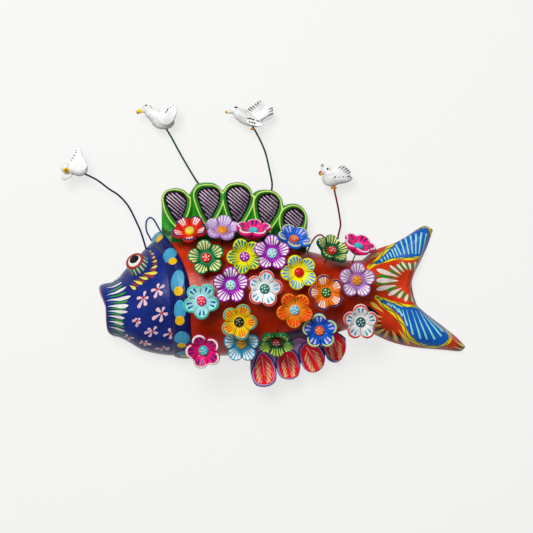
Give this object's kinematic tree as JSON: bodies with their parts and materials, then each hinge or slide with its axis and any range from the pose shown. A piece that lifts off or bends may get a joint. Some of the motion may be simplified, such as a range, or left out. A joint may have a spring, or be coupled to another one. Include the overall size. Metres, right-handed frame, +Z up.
{
  "type": "hanging clay fish",
  "caption": "Hollow open-backed clay fish that hangs on a wall by wire loops, with clay flowers on wire stems and clay birds on long swaying wires.",
  "frame": {"origin": "on the wall plane, midway between the two hanging points", "axes": "+X to the right as it hangs, towards the tail, +Z up, front faces -Y"},
  "size_m": [0.3654, 0.0781, 0.2568],
  "materials": {
    "clay_blue": "gloss paint over fired clay",
    "clay_navy": "gloss paint over fired clay",
    "clay_red": "gloss paint over fired clay",
    "clay_green": "gloss paint over fired clay",
    "clay_purple": "gloss paint over fired clay",
    "wire_blue": "painted iron wire",
    "wire_green": "painted iron wire",
    "wire_brown": "painted iron wire",
    "wire_stem": "dark annealed iron wire",
    "bird_white": "gloss white paint over fired clay",
    "flower_red": "gloss paint over fired clay",
    "flower_lilac": "gloss paint over fired clay",
    "flower_pink": "gloss paint over fired clay",
    "flower_blue": "gloss paint over fired clay",
    "flower_dark_green": "gloss paint over fired clay",
    "flower_green": "gloss paint over fired clay",
    "flower_lime": "gloss paint over fired clay",
    "flower_purple": "gloss paint over fired clay",
    "flower_yellow": "gloss paint over fired clay",
    "flower_aqua": "gloss paint over fired clay",
    "flower_white": "gloss paint over fired clay",
    "flower_orange": "gloss paint over fired clay",
    "flower_gold": "gloss paint over fired clay",
    "flower_crimson": "gloss paint over fired clay",
    "flower_sky": "gloss paint over fired clay"
  },
  "bodies": {
    "fish": {"head_shell": "clay_blue", "gill_band": "clay_navy", "trunk_shell": "clay_red", "tail": "clay_red", "dorsal_fin": "clay_green", "pelvic_fin": "clay_purple", "loop_left": "wire_blue", "loop_right": "wire_brown", "flower_red": "flower_red", "stem_red": "wire_stem", "flower_lilac_top": "flower_lilac", "stem_lilac_top": "wire_stem", "flower_pink_top": "flower_pink", "stem_pink_top": "wire_stem", "flower_blue_top": "flower_blue", "stem_blue_top": "wire_stem", "flower_green_cup": "flower_dark_green", "stem_green_cup": "wire_stem", "flower_pink_cup": "flower_pink", "stem_pink_cup": "wire_stem", "flower_green": "flower_green", "stem_green": "wire_stem", "flower_lime": "flower_lime", "stem_lime": "wire_stem", "flower_purple_right": "flower_purple", "stem_purple_right": "wire_stem", "flower_yellow": "flower_yellow", "stem_yellow": "wire_stem", "flower_lilac_right": "flower_lilac", "stem_lilac_right": "wire_stem", "flower_aqua": "flower_aqua", "stem_aqua": "wire_stem", "flower_purple_left": "flower_purple", "stem_purple_left": "wire_stem", "flower_white_left": "flower_white", "stem_white_left": "wire_stem", "flower_orange_right": "flower_orange", "stem_orange_right": "wire_stem", "flower_gold": "flower_gold", "stem_gold": "wire_stem", "flower_orange_left": "flower_orange", "stem_orange_left": "wire_stem", "flower_blue_low": "flower_blue", "stem_blue_low": "wire_stem", "flower_white_right": "flower_white", "stem_white_right": "wire_stem", "flower_crimson": "flower_crimson", "stem_crimson": "wire_stem", "flower_sky": "flower_sky", "stem_sky": "wire_stem", "flower_green_low": "flower_dark_green", "stem_green_low": "wire_stem"},
    "bird_left_on_wire": {"bird_left": "bird_white", "bird_wire_left": "wire_blue"},
    "bird_high_left_on_wire": {"bird_high_left": "bird_white", "bird_wire_high_left": "wire_green"},
    "bird_high_right_on_wire": {"bird_high_right": "bird_white", "bird_wire_high_right": "wire_green"},
    "bird_right_on_wire": {"bird_right": "bird_white", "bird_wire_right": "wire_brown"}
  },
  "joints": [
    {"name": "sway_left", "type": "hinge", "parent": "fish", "child": "bird_left_on_wire", "pos_m": [-0.0804, -0.007, -0.019], "axis": [0, 1, 0], "range_deg": [-4, 4], "stiffness_Nm_per_rad": 0.68},
    {"name": "sway_high_left", "type": "hinge", "parent": "fish", "child": "bird_high_left_on_wire", "pos_m": [-0.0328, -0.011, 0.0397], "axis": [0, 1, 0], "range_deg": [-4, 4], "stiffness_Nm_per_rad": 0.82},
    {"name": "sway_high_right", "type": "hinge", "parent": "fish", "child": "bird_high_right_on_wire", "pos_m": [0.0326, -0.011, 0.0327], "axis": [0, 1, 0], "range_deg": [-4, 4], "stiffness_Nm_per_rad": 0.85},
    {"name": "sway_right", "type": "hinge", "parent": "fish", "child": "bird_right_on_wire", "pos_m": [0.0894, -0.007, -0.027], "axis": [0, 1, 0], "range_deg": [-4, 4], "stiffness_Nm_per_rad": 0.85}
  ]
}
